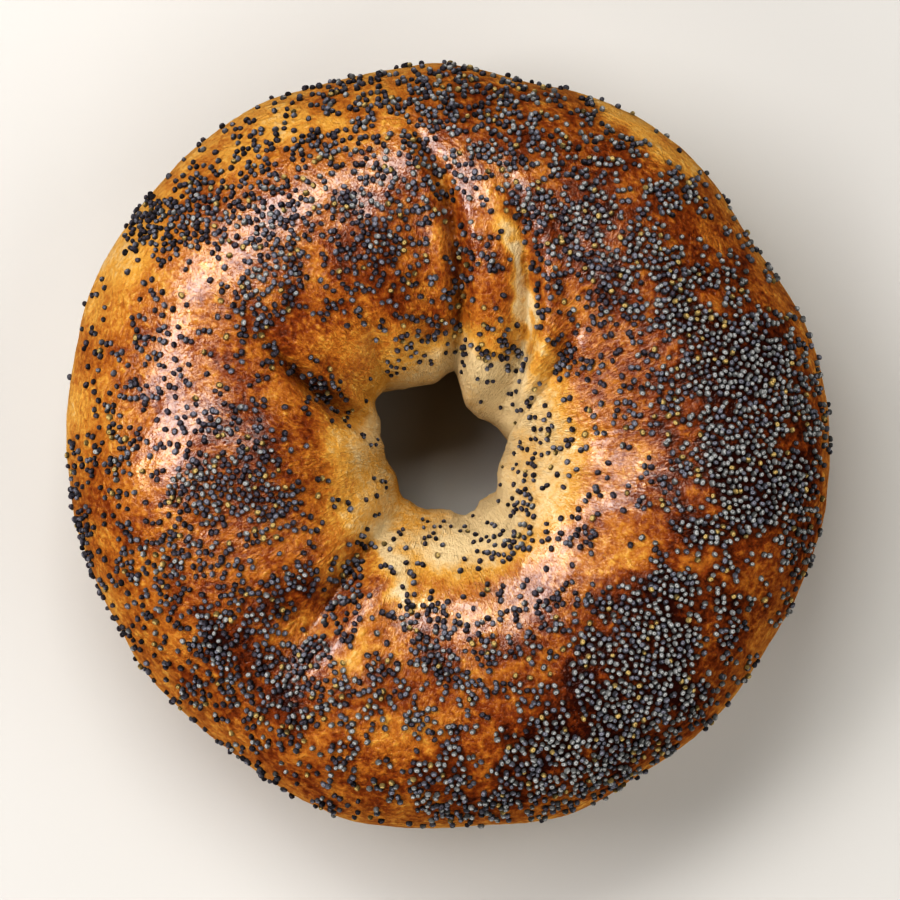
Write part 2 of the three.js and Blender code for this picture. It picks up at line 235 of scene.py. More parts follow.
# Places that came out of the oven darker (positive) or paler: (angle, radius, half-width, change)
BAKE_SPOTS = (
    (355, 44, 10, 0.12),
    (320, 42, 10, 0.16),
    (295, 44, 9, 0.1),
    (20, 41, 8, 0.1),
    (60, 36, 8, 0.06),
    (238, 11, 5, 0.2),
    (195, 11, 5, 0.09),
    (300, 13, 5, -0.12),
    (270, 18, 5, -0.14),
    (145, 55, 9, -0.32),
    (98, 53, 7, -0.22),
    (106, 45, 7, -0.1),
    (175, 54, 8, -0.2),
    (205, 54, 8, -0.12),
    (120, 52, 8, -0.2),
    (168, 38, 9, 0.04),
)

# Streaks that came out darker (positive) or paler: (x and y of one end, x and y of the other end,
# half-width, all in photo pixels, and the change)
BAKE_STREAKS = (
    (100, 300, 122, 262, 26, -0.14),
    (196, 158, 252, 168, 20, -0.16),
    (282, 128, 330, 130, 17, -0.16),
    (600, 108, 690, 172, 16, -0.28),
    (490, 196, 512, 250, 9, -0.2),
    (506, 224, 517, 262, 9, -0.28),
    (513, 262, 526, 328, 9, -0.36),
    (516, 262, 527, 328, 6, -0.16),
    (522, 306, 542, 348, 9, -0.24),
    (522, 345, 500, 412, 9, -0.3),
    (460, 336, 500, 398, 12, -0.12),
    (345, 352, 420, 344, 18, -0.14),
    (336, 440, 346, 560, 14, -0.16),
    (714, 306, 716, 314, 13, -0.26),
    (676, 566, 706, 552, 14, -0.16),
    (566, 566, 648, 552, 14, -0.14),
    (440, 576, 524, 572, 13, 0.12),
    (396, 594, 424, 598, 12, -0.3),
    (386, 540, 402, 590, 14, -0.38),
    (352, 658, 366, 620, 12, -0.26),
    (372, 722, 424, 718, 20, -0.16),
    (470, 660, 520, 700, 14, -0.08),
    (120, 420, 150, 500, 16, -0.08),
    (290, 590, 318, 604, 15, 0.16),
    (236, 640, 292, 692, 22, 0.2),
    (296, 346, 334, 318, 20, 0.08),
    (244, 392, 284, 470, 20, 0.12),
    (686, 236, 704, 272, 18, 0.16),
    (668, 470, 690, 522, 14, 0.18),
    (556, 676, 582, 724, 16, 0.18),
    (508, 756, 530, 770, 17, 0.14),
    (656, 676, 676, 690, 14, 0.16),
    (584, 140, 604, 204, 18, 0.1),
    (366, 250, 384, 300, 16, 0.08),
    (210, 586, 224, 640, 14, 0.12),
    (800, 470, 792, 600, 16, 0.1),
)

# How far the edges of the streaks wander, in mm
STREAK_WANDER = 2

# Bake levels, where 0 is cream crumb, 0.5 amber and 1 deep brown
HOLE_BAKE = 0.12
CREAM_BAKE = 0.1
CROWN_BAKE = 0.57
RIM_BAKE = 0.25
BASE_BAKE = 0.44

# The cream ring round the hole ends near this radius in mm, further out on the side it leans to
CREAM_TO = 16.6
CREAM_LEAN = 2.8
CREAM_LEANS_TO = -35

# Fine relief, each with the length of its cells and its height in mm. What runs across or along the
# ring also has a number of cells in a radian of the ring.
BIG_LUMPS = (9, 0.3)
SMALL_LUMPS = (4, 0.14)
CRINKLES = (3.4, 0.1)
CRINKLES_ROUND = 32
RIM_LINES = (0.75, 0.13)
RIM_LINES_ROUND = 7
GRIT = (1.1, 0.04)
RIM_GRIT = 0.08
BEADS = (4.4, 0.5)
BEADS_ROUND = 9 / 1.1
PATCH_LENGTH = 6

# Millimetres along the section in each degree of turn round it, nearly
ARC_PER_DEGREE = 0.35

# Coordinates of the grain: cells in a radian of the ring, and in a degree of turn round the section
GRAIN_ROUND = 27
GRAIN_ALONG = 0.21

# A seed has this many rings and sides. Its half-width, half-thickness and rise are shares of its
# length, and its notch and bend are shares of its half-width.
SEED_RINGS = 4
SEED_SIDES = 8
SEED_WIDTH = 0.44
SEED_THICKNESS = 0.42
SEED_RISE = 0.24
SEED_NOTCH = 0.22
SEED_BEND = 0.12

# Kinds of seed by their greyness, a random number with a stored field added, which is higher in thick
# drifts and, as painted
# light, on the right side: dark seeds below BLUE_FROM, slate ones from SLATE_FROM and blue-grey ones
# between. FAR is past all numbers.
BLUE_FROM = 0.42
SLATE_FROM = 0.8
FAR = 9.0
FULL_DENSITY = 9e6

# Softboxes: name, azimuth and elevation in degrees, distance in metres, width and height in metres,
# colour, and whether they show in the gloss
SOFTBOXES = (
    ("key", 158, 51, 0.6, (0.42, 0.18), (1, 0.96, 0.96), True),
    ("soft", 158, 51, 0.6, (0.5, 0.4), (1, 0.98, 0.95), False),
    ("top", 104, 58, 0.6, (0.3, 0.18), (1, 0.98, 0.95), True),
    ("side", 240, 24, 0.6, (0.5, 0.5), (1, 0.98, 0.95), False),
    ("fill", -10, 36, 0.7, (0.8, 0.8), (1, 0.98, 0.95), False),
)
FLOOR_WIDTH = 3.0
SENSOR_WIDTH = 36

# Grid of the crust, closer on the crown and the inner slope than underneath
RING_STEPS = 440
SECTION_STEPS = 214
CLOSEST_AROUND = 110
CLOSENESS = 32


def hump(x):
    """A soft bump of height 1 at 0."""
    return np.exp(-x * x)


def turn_between(a, b):
    """The turn from b to a in degrees, from -180 to 180."""
    return (a - b + 180) % 360 - 180


def smoothstep(x, low, high):
    """0 below low, 1 above high and smooth between."""
    share = np.clip((x - low) / (high - low), 0, 1)
    return share * share * (3 - 2 * share)


def swell(swells, angle):
    """The sum of some swellings at an angle round the ring."""
    return sum(rise * hump(turn_between(angle, at) / half) for at, rise, half in swells)


def spots(places, angle, radius):
    """The sum of some round spots of the crown."""
    total = 0
    for at, distance, half, rise in places:
        sideways = np.radians(turn_between(angle, at)) * radius
        total = total + rise * hump(np.hypot(sideways, radius - distance) / half)
    return total


def signed_power(x, power):
    """A power that keeps the sign."""
    return np.sign(x) * np.abs(x) ** power


def hole_radius(angle):
    """The hole's radius, from the sides of its soft-cornered polygon."""
    nearness = 0
    for faces, distance in HOLE_SIDES:
        along = np.maximum(np.cos(np.radians(angle - faces)), 0)
        nearness = nearness + (along / (distance * HOLE_WALL)) ** HOLE_CORNER_POWER
    return nearness ** (-1 / HOLE_CORNER_POWER)


def past_waist(around):
    """The turn round the section from the outer waist, negative below it."""
    return np.where(around > 270, around - 360, around)


def section(angle, around):
    """Radius and height before the relief. around is 0 at the outer waist and 90 at the crest."""
    outer = OUTER_DIAMETER / 2 - SEEDS_PROUD + swell(OUTLINE_SWELLS, angle)
    hole = hole_radius(angle)
    across = np.cos(np.radians(around))
    up = np.sin(np.radians(around))
    power = np.where(up >= 0, 2 / UPPER_POWER, 2 / LOWER_POWER)
    depth = np.where(up >= 0, HEIGHT - WAIST_HEIGHT + swell(CROWN_SWELLS, angle), LOWER_DEPTH)
    radius = (outer + hole) / 2 + (outer - hole) / 2 * signed_power(across, power)
    return radius, WAIST_HEIGHT + depth * signed_power(up, power)


def section_normal(angle, around):
    """The section's outward direction, as radial and upward parts."""
    r0, z0 = section(angle, around - SLOPE_STEP)
    r1, z1 = section(angle, around + SLOPE_STEP)
    length = np.hypot(r1 - r0, z1 - z0)
    return (z1 - z0) / length, -(r1 - r0) / length


def fold_line(fold, from_waist):
    """The angle of a fold's line, where from_waist counts quarter turns from the hole's waist."""
    along = np.clip(from_waist / fold.reach, *FOLD_LINE_ENDS)
    return fold.begin + (fold.end - fold.begin) * along + fold.bow * np.sin(np.pi * along)


def fold_relief(angle, around, radius):
    """The relief of all folds, and how near each place is to a fold's groove."""
    from_waist = (180 - around) / 90
    relief = 0
    nearness = 0
    for fold in FOLDS:
        along = from_waist / fold.reach
        opening = fold.mouth + (1 - fold.mouth) * smoothstep(from_waist, 0, MOUTH_LENGTH)
        outwards = hump(np.maximum(along - FOLD_FULL_TO, 0) / FOLD_FADE)
        fade = opening * outwards * hump(np.minimum(along, 0) / FOLD_BELOW)
        offset = np.radians(turn_between(angle, fold_line(fold, from_waist))) * radius
        groove = -fold.depth * hump(offset / fold.width)
        ridge_at = math.copysign(RIDGE_OFFSET * fold.width, fold.ridge)
        ridge = abs(fold.ridge) * hump((offset - ridge_at) / fold.width)
        crease = -fold.crease * np.exp(-np.abs(offset) / CREASE_WIDTH)
        relief = relief + fade * (groove + ridge + crease)
        nearness = nearness + fade * fold.depth / 3 * hump(offset / (1.3 * fold.width))
    return relief, np.clip(nearness, 0, 1)


def wave_relief(angle, around):
    """The slow waves of the surface."""
    return sum(
        rise * np.cos(np.radians(ring * angle + turns * around + phase))
        for ring, turns, phase, rise in DOUGH_WAVES
    )


def noise_over(places):
    """Smooth noise from -1 to 1 at an array of places, given in noise cells."""
    values = [noise.noise(Vector(place)) for place in places.reshape(-1, 3)]
    return np.array(values).reshape(places.shape[:-1])


def crests_over(places):
    """Noise from -1 to 1 with sharp crests, at an array of places given in noise cells."""
    return 1 - 2 * np.abs(noise_over(places))


def wandering(points, cell, sideways_from, upward_from, reach):
    """The points moved a little, so that an edge drawn on them wanders by about reach."""
    sideways = noise_over(points / cell + sideways_from)
    upward = noise_over(points / cell + upward_from)
    return points + reach * np.stack([sideways, upward, 0 * upward], -1)


def ring_direction(angle):
    """The direction of each angle round the ring, as x and y."""
    turn = np.radians(angle)
    return np.stack([np.cos(turn), np.sin(turn)], -1)


def row_angles(rows, around):
    """The angles of the grid's rows, which run along the folds."""
    from_waist = np.abs(180 - around) / 90
    turns = FOLDS[0].end + 360 * rows / RING_STEPS
    angles = np.zeros((len(rows), len(around)))
    for number, fold in enumerate(FOLDS):
        last = number == len(FOLDS) - 1
        after = FOLDS[0] if last else FOLDS[number + 1]
        lap = 360 if last else 0
        inside = (turns >= fold.end) & (turns < after.end + lap)
        share = ((turns[inside] - fold.end) / (after.end + lap - fold.end))[:, None]
        begin = fold_line(fold, from_waist)[None, :]
        end = fold_line(after, from_waist)[None, :] + lap
        angles[inside] = begin + (end - begin) * share
    return angles


def crust_grid():
    """Angles and turns round the section of every vertex of the crust."""
    even = 360 * np.arange(SECTION_STEPS) / SECTION_STEPS
    around = (even - CLOSENESS * np.sin(np.radians(even - CLOSEST_AROUND))) % 360
    angle = row_angles(np.arange(RING_STEPS), around)
    return angle, np.broadcast_to(around, angle.shape)


def fine_relief(angle, around, radius, height, near_fold):
    """Lumps, crinkles across the ring, stretch lines along the rim and beads at the hole, in mm."""
    ring = ring_direction(angle)
    along = past_waist(around)[..., None] * ARC_PER_DEGREE
    place = np.concatenate([ring * radius[..., None], height[..., None]], -1)
    lumps = BIG_LUMPS[1] * noise_over(place / BIG_LUMPS[0])
    lumps = lumps + SMALL_LUMPS[1] * noise_over(place / SMALL_LUMPS[0])
    grit = noise_over(place / GRIT[0] + 30)
    patches = 0.5 + 0.5 * noise_over(place / PATCH_LENGTH + 17)
    crinkles = crests_over(np.concatenate([ring * CRINKLES_ROUND, along / CRINKLES[0]], -1))
    on_crown = smoothstep(around, 30, 70) * (1 - smoothstep(around, 150, 185))
    wrinkled = on_crown * (0.3 + 1.6 * smoothstep(patches, 0.45, 0.75) + 0.7 * near_fold)
    crown = wrinkled * (CRINKLES[1] * crinkles + GRIT[1] * grit)
    rim_lines = crests_over(np.concatenate([ring * RIM_LINES_ROUND, along / RIM_LINES[0]], -1))
    on_rim = hump(turn_between(around, 8) / 26)
    rim = on_rim * (RIM_LINES[1] * rim_lines * (0.4 + patches) + RIM_GRIT * grit)
    beads = noise_over(np.concatenate([ring * BEADS_ROUND, along / BEADS[0]], -1) + 5)
    at_hole = hump(turn_between(around, 176) / 16)
    return lumps + crown + rim + BEADS[1] * at_hole * np.maximum(beads - 0.1, 0)


def crust_points():
    """The crust's vertices in mm with the fields that its finish and its seeds follow."""
    angle, around = crust_grid()
    radius, height = section(angle, around)
    radial, up = section_normal(angle, around)
    folds, near_fold = fold_relief(angle, around, radius)
    outside, outer, inner, inside = CROWN_EDGES
    top = smoothstep(around, outside, outer) * (1 - smoothstep(around, inner, inside))
    relief = folds + top * spots(DIMPLES, angle, radius) + wave_relief(angle, around)
    relief = relief + fine_relief(angle, around, radius, height, near_fold)
    share = smoothstep(height, RELIEF_NONE_AT, RELIEF_FULL_AT)
    r = radius + share * relief * radial
    z = np.maximum(height + share * relief * up, 0)
    points = np.concatenate([ring_direction(angle) * r[..., None], z[..., None]], -1)
    return points, angle, around, r, near_fold


def photo_place(x, y):
    """A photo pixel as millimetres from the middle of the ring."""
    return (x - PHOTO_CENTRE[0]) * PIXEL, (PHOTO_CENTRE[1] - y) * PIXEL


def from_stroke(points, x0, y0, x1, y1):
    """The distance in mm, seen from above, from a stroke between two photo pixels."""
    x0, y0 = photo_place(x0, y0)
    x1, y1 = photo_place(x1, y1)
    length = (x1 - x0) ** 2 + (y1 - y0) ** 2
    share = ((points[..., 0] - x0) * (x1 - x0) + (points[..., 1] - y0) * (y1 - y0)) / length
    share = np.clip(share, 0, 1)
    return np.hypot(points[..., 0] - x0 - share * (x1 - x0), points[..., 1] - y0 - share * (y1 - y0))


def seed_cover(around, points):
    """The share of the crust that seeds cover at each vertex, broken up into clumps."""
    moved = wandering(points, 2.4, 0, 40, DRIFT_WANDER)
    cover = np.full(around.shape, THIN_COVER)
    for x0, y0, x1, y1, half, share in SEED_DRIFTS:
        apart = from_stroke(moved, x0, y0, x1, y1) / (half * PIXEL)
        drift = (share - THIN_COVER) * (1 - smoothstep(apart, 0.8, 1.7))
        cover = np.maximum(cover, THIN_COVER + drift)
    for x0, y0, x1, y1, half, gone in BARE_STREAKS:
        apart = from_stroke(moved, x0, y0, x1, y1) / (half * PIXEL)
        cover = cover * (1 - gone * (1 - smoothstep(apart, 0.7, 1.4)))
    clumps = noise_over(points / 1.3 + 9) + 0.6 * noise_over(points / 4 + 70)
    # Seeds keep their distance, so a thick cover takes more tries than its share
    cover = 1 - (1 - cover) ** 1.5
    cover = cover * (1 + 1.1 * clumps * (1 - cover)) * 1.1
    lit = past_waist(around)
    rise = smoothstep(lit, SEEDS_FROM, SEEDS_THICK_FROM)
    reach = rise * (1 - smoothstep(lit, SEEDS_THICK_TO, SEEDS_TO))
    return np.clip(cover, 0, 1) * reach


def streak_bake(points):
    """The change of the bake by its streaks, whose edges wander a little."""
    moved = wandering(points, 3, 11, 52, STREAK_WANDER)
    total = 0
    for x0, y0, x1, y1, half, change in BAKE_STREAKS:
        total = total + change * hump(from_stroke(moved, x0, y0, x1, y1) / (half * PIXEL))
    return total


def browning(angle, around, radius, near_fold, points):
    """How brown the bake is: 0 is cream crumb, 0.5 amber and 1 deep brown."""
    cream_to = CREAM_TO + CREAM_LEAN * np.cos(np.radians(angle - CREAM_LEANS_TO))
    past_cream = smoothstep(radius, cream_to - 4, cream_to + 5)
    crown = CREAM_BAKE + (CROWN_BAKE - CREAM_BAKE) * past_cream
    crown = crown + spots(BAKE_SPOTS, angle, radius) + streak_bake(points)
    crown = crown - 0.12 * near_fold * (1 - past_cream)
    above = turn_between(around, 0)
    rim = RIM_BAKE + 0.08 * np.cos(np.radians(angle + 60))
    crown_share = 0.45 + 0.55 * smoothstep(above, 0, 34) - 0.45 * smoothstep(-above, 0, 26)
    outer = crown_share * crown + (1 - crown_share) * rim
    under = smoothstep(-above, 30, 62)
    level = outer * (1 - under) + BASE_BAKE * under
    hole = HOLE_BAKE + 0.1 * smoothstep(around, 195, 225)
    hole = hole + (BASE_BAKE - hole) * smoothstep(around, 215, 243)
    in_hole = (around > 180) & (around <= 270)
    return np.where(in_hole, hole, level)


# What every colour setting shares
COLOUR = {"subtype": "COLOR", "size": 3, "min": 0, "max": 1}


class BagelDough(bpy.types.PropertyGroup):
    """Colours and gloss of the baked dough."""

    cream: bpy.props.FloatVectorProperty(
        name="Cream", description="Dough that the oven left pale, by the hole",
        default=(0.56, 0.435, 0.25), **COLOUR)
    gold: bpy.props.FloatVectorProperty(
        name="Gold", description="Lightly baked dough",
        default=(0.5, 0.272, 0.056), **COLOUR)
    amber: bpy.props.FloatVectorProperty(
        name="Amber", description="Well baked crust",
        default=(0.335, 0.128, 0.02), **COLOUR)
    rust: bpy.props.FloatVectorProperty(
        name="Rust", description="Dark red-brown crust",
        default=(0.16, 0.038, 0.007), **COLOUR)
    brown: bpy.props.FloatVectorProperty(
        name="Brown", description="Darkest crust",
        default=(0.035, 0.007, 0.003), **COLOUR)
    gloss: bpy.props.FloatProperty(
        name="Gloss", description="Weight of the egg-wash coat", subtype="FACTOR", min=0, max=1,
        default=0.95)
    wrinkle: bpy.props.FloatProperty(
        name="Fine wrinkles", description="Height of the finest wrinkles, beyond the mesh",
        unit="LENGTH", min=0, default=0.0003)


class BagelSeeds(bpy.types.PropertyGroup):
    """Sizes, spread and colours of the poppy seeds."""

    length: bpy.props.FloatProperty(
        name="Length", description="Length of a poppy seed", unit="LENGTH", min=0, default=0.001)
    spacing: bpy.props.FloatProperty(
        name="Spacing", description="Least distance between seeds", unit="LENGTH", min=0,
        default=0.00075)
    lift: bpy.props.FloatProperty(
        name="Lift", description="How far piled seeds rise off the crust", unit="LENGTH", min=0,
        default=0.00025)
    random_seed: bpy.props.IntProperty(
        name="Random seed", description="Another number spreads the seeds another way", default=12)
    straw_share: bpy.props.FloatProperty(
        name="Straw share", description="Share of pale straw seeds", subtype="FACTOR", min=0,
        max=1, default=0.065)
    dark: bpy.props.FloatVectorProperty(
        name="Dark", description="Darkest seeds",
        default=(0.055, 0.05, 0.063), **COLOUR)
    blue: bpy.props.FloatVectorProperty(
        name="Blue-grey", description="Seeds between dark and slate",
        default=(0.125, 0.127, 0.15), **COLOUR)
    slate: bpy.props.FloatVectorProperty(
        name="Slate", description="Pale grey seeds",
        default=(0.225, 0.23, 0.228), **COLOUR)
    straw: bpy.props.FloatVectorProperty(
        name="Straw", description="Straw-coloured seeds",
        default=(0.31, 0.23, 0.095), **COLOUR)


class BagelStudio(bpy.types.PropertyGroup):
    """The floor, the lights and the camera."""

    floor_colour: bpy.props.FloatVectorProperty(
        name="Floor", description="Colour of the floor",
        default=(0.42, 0.415, 0.4), **COLOUR)
    key_power: bpy.props.FloatProperty(
        name="Key light", description="Power of the big softbox on the left", unit="POWER", min=0,
        default=2.6)
    soft_power: bpy.props.FloatProperty(
        name="Key soft light", description="Power of the soft light beside the key", unit="POWER",
        min=0, default=0.6)
    top_power: bpy.props.FloatProperty(
        name="Top light", description="Power of the high softbox behind", unit="POWER", min=0,
        default=1.8)
    side_power: bpy.props.FloatProperty(
        name="Side light", description="Power of the low softbox at the lower left", unit="POWER",
        min=0, default=2.3)
    fill_power: bpy.props.FloatProperty(
        name="Fill light", description="Power of the soft fill on the right", unit="POWER", min=0,
        default=3.8)
    ambient: bpy.props.FloatProperty(
        name="Ambient", description="Strength of the light from all round", min=0, default=0.02)
    lens: bpy.props.FloatProperty(
        name="Lens", description="Focal length of the camera", unit="CAMERA", min=1, default=200)


def put(tree, kind, inputs=None, **settings):
    """Adds a node, with its settings and with sockets or values on its inputs."""
    node = tree.nodes.new(kind)
    for name, value in settings.items():
        setattr(node, name, value)
    for name, value in (inputs or {}).items():
        if isinstance(value, bpy.types.NodeSocket):
            tree.links.new(value, node.inputs[name])
        else:
            node.inputs[name].default_value = value
    return node


def sums(tree, operation, first, second=0.0, third=0.0, clamp=False):
    """The output of a maths node."""
    inputs = {0: first, 1: second, 2: third}
    return put(tree, "ShaderNodeMath", inputs, operation=operation, use_clamp=clamp).outputs[0]


def ramp(tree, factor, stops):
    """A colour ramp through (place, colour) stops."""
    node = put(tree, "ShaderNodeValToRGB", {"Fac": factor})
    elements = node.color_ramp.elements
    while len(elements) < len(stops):
        elements.new(1.0)
    for element, (place, colour) in zip(elements, stops):
        element.position = place
        element.color = (*colour, 1)
    return node.outputs["Color"]


def field(tree, name, kind="Fac"):
    """The output of an attribute of the mesh."""
    return put(tree, "ShaderNodeAttribute", attribute_name=name).outputs[kind]


def cloud(tree, where, scale, detail=2.0, roughness=0.5, distortion=0.0):
    """Smooth noise from 0 to 1, scale in cells for each metre."""
    inputs = {"Vector": where, "Scale": scale, "Detail": detail, "Roughness": roughness,
              "Distortion": distortion}
    return put(tree, "ShaderNodeTexNoise", inputs).outputs["Fac"]


def new_material(name):
    """An empty node material with its output and Principled shader."""
    material = bpy.data.materials.new(name)
    material.use_nodes = True
    tree = material.node_tree
    tree.nodes.clear()
    shader = put(tree, "ShaderNodeBsdfPrincipled")
    put(tree, "ShaderNodeOutputMaterial", {"Surface": shader.outputs["BSDF"]})
    return material, tree, shader


def off_middle(tree, value):
    """How far a noise is from its middle: 0 along winding lines and 1 at its ends."""
    return sums(tree, "ABSOLUTE", sums(tree, "MULTIPLY_ADD", value, 2.0, -1.0))


def vary(tree, level, value, amount):
    """A level that a noise shifts up and down by half of an amount."""
    return sums(tree, "MULTIPLY_ADD", value, amount, sums(tree, "ADD", level, -amount / 2))


def crust_relief(tree, grain, where):
    """Heights of the fine wrinkles of the crust and of the egg-wash film with its narrow cracks."""
    ridges = sums(tree, "MULTIPLY", off_middle(tree, cloud(tree, grain, 1.2, 3.0, 0.55, 0.2)), 1.7)
    lines = off_middle(tree, cloud(tree, grain, 1.7, 3.0, 0.55, 0.2))
    cracks = put(tree, "ShaderNodeMapRange", {"Value": lines, "From Max": 0.22},
                 interpolation_type="SMOOTHSTEP").outputs[0]
    patches = cloud(tree, where, 160, 2.0, 0.5)
    rough_patch = put(tree, "ShaderNodeMapRange", {"Value": patches, "From Min": 0.35,
                                                   "From Max": 0.65, "To Min": 0.45}).outputs[0]
    skin = cloud(tree, where, 1300, 2.0, 0.55, 0.2)
    pores = cloud(tree, where, 4200, 2.0, 0.6)
    height = sums(tree, "MULTIPLY_ADD", skin, 1.1, sums(tree, "MULTIPLY", ridges, rough_patch))
    height = sums(tree, "MULTIPLY_ADD", pores, 0.2, height)
    film = sums(tree, "MULTIPLY_ADD", sums(tree, "MULTIPLY", cracks, rough_patch), 0.13,
                sums(tree, "MULTIPLY", height, 0.07))
    return height, film


def bake_and_shade_level(tree, grain, where, height):
    """How brown each place is: mottled, freckled and streaked, darker in the hollows as painted shade,
    and with the seed bed's darkening and painted shade added.
    """
    level = vary(tree, 0.0, cloud(tree, where, 190, 2.0, 0.55), 0.75)
    level = vary(tree, level, cloud(tree, where, 1100, 3.0, 0.65), 0.68)
    level = vary(tree, level, cloud(tree, grain, 0.6, 3.0, 0.6, 0.2), 0.16)
    # Lower places of the fine relief get darker: painted shade in the hollows of the wrinkles
    level = sums(tree, "MULTIPLY_ADD", height, -0.38, sums(tree, "ADD", level, 0.315))
    bake = field(tree, "browning")
    unevenness = sums(tree, "MULTIPLY_ADD", bake, 1.2, 0.2, clamp=True)
    level = sums(tree, "MULTIPLY_ADD", level, unevenness, bake)
    # Adds the seed bed's darkening, partly darker crust and partly painted shade between the seeds
    return sums(tree, "ADD", field(tree, "soot"), level)


def crust_material(dough):
    """Baked dough from cream to deep brown, with a shiny egg wash over the crown."""
    material, tree, shader = new_material("bagel_crust")
    where = put(tree, "ShaderNodeTexCoord").outputs["Object"]
    grain = field(tree, "grain", "Vector")
    wash = field(tree, "egg_wash")
    height, film_height = crust_relief(tree, grain, where)
    colour = ramp(tree, bake_and_shade_level(tree, grain, where, height), (
        (0.05, tuple(dough.cream)),
        (0.28, tuple(dough.gold)),
        (0.5, tuple(dough.amber)),
        (0.74, tuple(dough.rust)),
        (1.0, tuple(dough.brown)),
    ))
    tree.links.new(colour, shader.inputs["Base Color"])
    rough = sums(tree, "MULTIPLY_ADD", cloud(tree, where, 420, 2.0), 0.2, 0.2)
    dry = sums(tree, "SUBTRACT", 1.0, wash)
    rough = sums(tree, "MULTIPLY_ADD", dry, 0.3, rough)
    tree.links.new(rough, shader.inputs["Roughness"])
    coat = sums(tree, "MULTIPLY", wash, dough.gloss)
    tree.links.new(coat, shader.inputs["Coat Weight"])
    shader.inputs["Coat Roughness"].default_value = 0.08
    shader.inputs["Specular IOR Level"].default_value = 0.25
    bump = put(tree, "ShaderNodeBump", {"Height": height, "Distance": dough.wrinkle})
    tree.links.new(bump.outputs["Normal"], shader.inputs["Normal"])
    film = put(tree, "ShaderNodeBump", {"Height": film_height, "Distance": dough.wrinkle})
    tree.links.new(film.outputs["Normal"], shader.inputs["Coat Normal"])
    return material


def seed_skin_group():
    """A node group for the skin of a poppy seed: a netted pale ring on a dark body, where the ring on
    the top is partly a painted highlight and the dark rim and underside are painted shade.
    """
    group = bpy.data.node_groups.new("seed_skin", "ShaderNodeTree")
    group.interface.new_socket("Cell Scale", in_out="INPUT", socket_type="NodeSocketFloat")
    group.interface.new_socket("Shade", in_out="OUTPUT", socket_type="NodeSocketFloat")
    group.interface.new_socket("Relief", in_out="OUTPUT", socket_type="NodeSocketFloat")
    given = group.nodes.new("NodeGroupInput")
    result = group.nodes.new("NodeGroupOutput")
    where = put(group, "ShaderNodeTexCoord").outputs["Object"]
    net = put(group, "ShaderNodeTexVoronoi", {"Vector": where, "Scale": given.outputs[0]},
              feature="DISTANCE_TO_EDGE")
    ridge = put(group, "ShaderNodeMapRange", {"Value": net.outputs["Distance"], "From Max": 0.25,
                                              "To Min": 1.0, "To Max": 0.0}).outputs[0]
    # A pale ring on the seed's top only, partly its skin and partly a painted highlight; the rim and
    # underside stay dark as painted shade
    off_highlight_ring = sums(group, "ABSOLUTE", sums(group, "SUBTRACT", field(group, "from_axis"), 0.42))
    ring = put(group, "ShaderNodeMapRange", {"Value": off_highlight_ring, "From Max": 0.45, "To Min": 1.0,
                                             "To Max": 0.0}, interpolation_type="SMOOTHSTEP")
    tint = sums(group, "MULTIPLY_ADD", field(group, "tint"), 0.4, -0.15)
    shade = sums(group, "MULTIPLY_ADD", ring.outputs[0], 0.8, tint)
    shade = sums(group, "MULTIPLY_ADD", ridge, 0.15, shade)
    group.links.new(shade, result.inputs["Shade"])
    group.links.new(ridge, result.inputs["Relief"])
    return group


def seed_material(name, colour, skin):
    """The skin of one kind of seed."""
    material, tree, shader = new_material(name)
    netted = put(tree, "ShaderNodeGroup", node_tree=skin)
    netted.inputs["Cell Scale"].default_value = 6500
    # The dark end is painted shade at a seed's rim and underside, the pale end the painted highlight
    # ring on its top
    colours = ramp(tree, netted.outputs["Shade"], (
        (0.0, tuple(c * 0.22 for c in colour)),
        (0.45, tuple(c * 0.75 for c in colour)),
        (1.0, tuple(min(c * 1.45, 1) for c in colour)),
    ))
    tree.links.new(colours, shader.inputs["Base Color"])
    shader.inputs["Roughness"].default_value = 0.42
    shader.inputs["Specular IOR Level"].default_value = 0.2
    bump = put(tree, "ShaderNodeBump", {"Height": netted.outputs["Relief"], "Distance": 0.00003})
    tree.links.new(bump.outputs["Normal"], shader.inputs["Normal"])
    return material


def claim(piece):
    """Lets a finished piece ride on the bagel's body and stand for its CAD node."""
    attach(piece, BODY)
    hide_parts(NODE)


def store(mesh, name, kind, values):
    """Stores a field on the vertices of a mesh."""
    attribute = mesh.attributes.new(name, kind, "POINT")
    key = "vector" if kind == "FLOAT_VECTOR" else "value"
    attribute.data.foreach_set(key, np.ascontiguousarray(values, dtype=np.float32).ravel())


